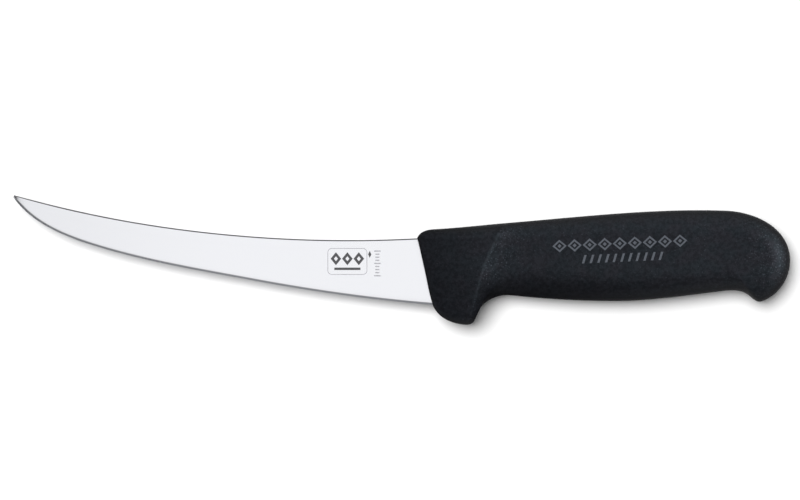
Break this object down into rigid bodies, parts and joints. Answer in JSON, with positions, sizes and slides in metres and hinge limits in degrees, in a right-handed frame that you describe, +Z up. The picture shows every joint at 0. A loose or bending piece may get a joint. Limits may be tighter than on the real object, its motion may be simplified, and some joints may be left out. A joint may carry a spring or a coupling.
{
  "type": "curved boning knife",
  "caption": "Boning knife with a curved, upswept narrow blade and a black moulded handle with a front guard, a ridge behind it and a small hook at the butt, lying on its side.",
  "frame": {"origin": "bottom centre of the bounding box, with the knife lying on its side and Z = 0 at the lower side of the belly and the ridge", "axes": "+X from the blade's tip to the butt, +Y from the cutting edge to the spine, +Z up, across the knife's thickness"},
  "size_m": [0.285, 0.0474, 0.0186],
  "materials": {
    "blade_steel": "fine-ground stainless steel, near white, with a darker ground cutting bevel",
    "core_plastic": "stiff moulded plastic, dark grey, hidden inside the grip",
    "grip_plastic": "charcoal black moulded grip with a fine matte grain"
  },
  "bodies": {
    "root": {"blade": "blade_steel", "handle_core": "core_plastic", "handle_grip": "grip_plastic"}
  },
  "joints": []
}
